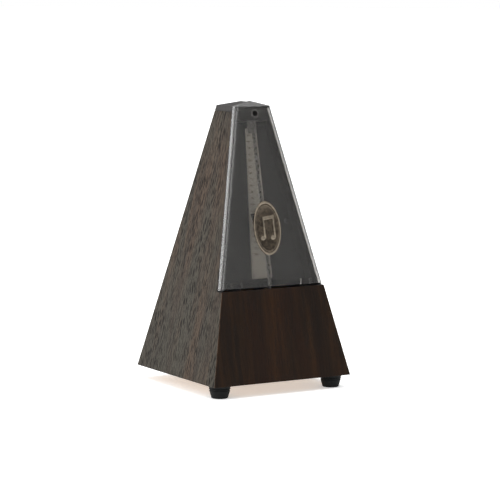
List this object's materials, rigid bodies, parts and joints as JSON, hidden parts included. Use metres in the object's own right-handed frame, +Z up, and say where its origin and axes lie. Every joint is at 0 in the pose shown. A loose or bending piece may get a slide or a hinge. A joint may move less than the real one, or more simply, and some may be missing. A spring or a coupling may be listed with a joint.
{
  "type": "key-wound pyramid metronome",
  "caption": "Pyramid metronome: veneered case, clear smoked front that tilts open, swinging pendulum with sliding weight, tempo scale and a wind-up movement with a side key.",
  "frame": {"origin": "on the table plane under the pyramid's axis", "axes": "+Z up, the front faces -Y, the winding key is on +X"},
  "size_m": [0.1305, 0.118, 0.2139],
  "materials": {
    "side_veneer": "open-pored dark veneer",
    "front_veneer": "smooth dark red-brown veneer",
    "inner_wood": "plain plywood",
    "cap_plastic": "plain grey-brown moulding",
    "clear_cover": "clear smoked polystyrene",
    "badge_bronze": "aged bronze",
    "black_plastic": "black moulding",
    "scale_enamel": "pale enamelled sheet with a printed scale",
    "foot_rubber": "dark blue-grey rubber",
    "steel": "turned and brushed steel",
    "spring_steel": "blued spring steel",
    "fasteners": "zinc-plated screws",
    "movement_brass": "plain clock brass",
    "bob_iron": "grey cast metal",
    "weight_metal": "bright plated sliding weight",
    "key_metal": "bright plated key"
  },
  "bodies": {
    "root": {"left_panel": "side_veneer", "right_panel": "side_veneer", "rear_panel": "side_veneer", "front_plate": "front_veneer", "base_plate": "inner_wood", "corner_blocks": "inner_wood", "board_cleats": "inner_wood", "top_cap": "cap_plastic", "head_block": "black_plastic", "cover_stud": "black_plastic", "dial_board": "black_plastic", "tempo_scale": "scale_enamel", "foot_front_left": "foot_rubber", "foot_front_right": "foot_rubber", "foot_rear": "foot_rubber", "movement_pillars": "steel", "potence_pillar": "steel", "click_spring": "spring_steel", "base_screws": "fasteners", "foot_screws": "fasteners", "board_screws": "fasteners", "bracket_screws": "fasteners", "bridge_screws": "fasteners", "pillar_screws": "fasteners", "scale_pins": "fasteners", "click_screw": "fasteners", "movement_plate_left": "movement_brass", "movement_plate_right": "movement_brass", "front_bridge": "movement_brass", "rear_cock": "movement_brass", "potence": "movement_brass", "rod_catch": "movement_brass", "key_escutcheon": "key_metal"},
    "front_cover_body": {"front_cover": "clear_cover", "cover_badge": "badge_bronze"},
    "pendulum": {"pendulum_rod": "steel", "pendulum_hub": "movement_brass", "lower_bob": "bob_iron", "verge_arbor": "steel", "front_pallet": "steel", "rear_pallet": "steel"},
    "sliding_weight": {"tempo_weight": "weight_metal", "weight_spring": "spring_steel"},
    "escape_train": {"crown_wheel": "movement_brass", "crown_collet": "movement_brass", "escape_arbor": "steel"},
    "second_train": {"second_wheel": "movement_brass", "second_arbor": "steel"},
    "barrel_train": {"mainspring_barrel": "movement_brass", "barrel_cover": "steel", "mainspring": "spring_steel"},
    "winding": {"winding_arbor": "steel", "ratchet_wheel": "steel", "winding_key": "key_metal"},
    "click_pawl": {"click": "steel"}
  },
  "joints": [
    {"name": "cover_tilt", "type": "hinge", "parent": "root", "child": "front_cover_body", "pos_m": [0, -0.04413, 0.07725], "axis": [1, 0, 0], "range_deg": [0, 75]},
    {"name": "pendulum_swing", "type": "hinge", "parent": "root", "child": "pendulum", "pos_m": [0, -0.04086, 0.06695], "axis": [0, -0.9768, 0.2144], "range_deg": [-6, 6]},
    {"name": "weight_slide", "type": "slide", "parent": "pendulum", "child": "sliding_weight", "axis": [0, 0.2144, 0.9768], "range_m": [-0.03, 0.059]},
    {"name": "key_wind", "type": "hinge", "parent": "root", "child": "winding", "pos_m": [0, 0.02066, 0.04365], "axis": [1, 0, 0], "range_deg": [0, 1890], "deforming": ["mainspring"]},
    {"name": "train_run", "type": "hinge", "parent": "root", "child": "barrel_train", "pos_m": [0, 0.02066, 0.04365], "axis": [1, 0, 0], "continuous": true},
    {"name": "second_run", "type": "hinge", "parent": "root", "child": "second_train", "pos_m": [0, -0.00298, 0.04782], "axis": [1, 0, 0], "continuous": true},
    {"name": "escape_run", "type": "hinge", "parent": "root", "child": "escape_train", "pos_m": [0, -0.01684, 0.06168], "axis": [1, 0, 0], "continuous": true},
    {"name": "click_lift", "type": "hinge", "parent": "root", "child": "click_pawl", "pos_m": [0, 0.00666, 0.05165], "axis": [1, 0, 0], "range_deg": [0, 15], "stiffness_Nm_per_rad": 0.002, "springref_deg": -5.73, "deforming": ["click_spring"]}
  ],
  "couplings": [
    {"joint": "second_run", "follows": "train_run", "ratio": -4},
    {"joint": "escape_run", "follows": "train_run", "ratio": 10}
  ]
}
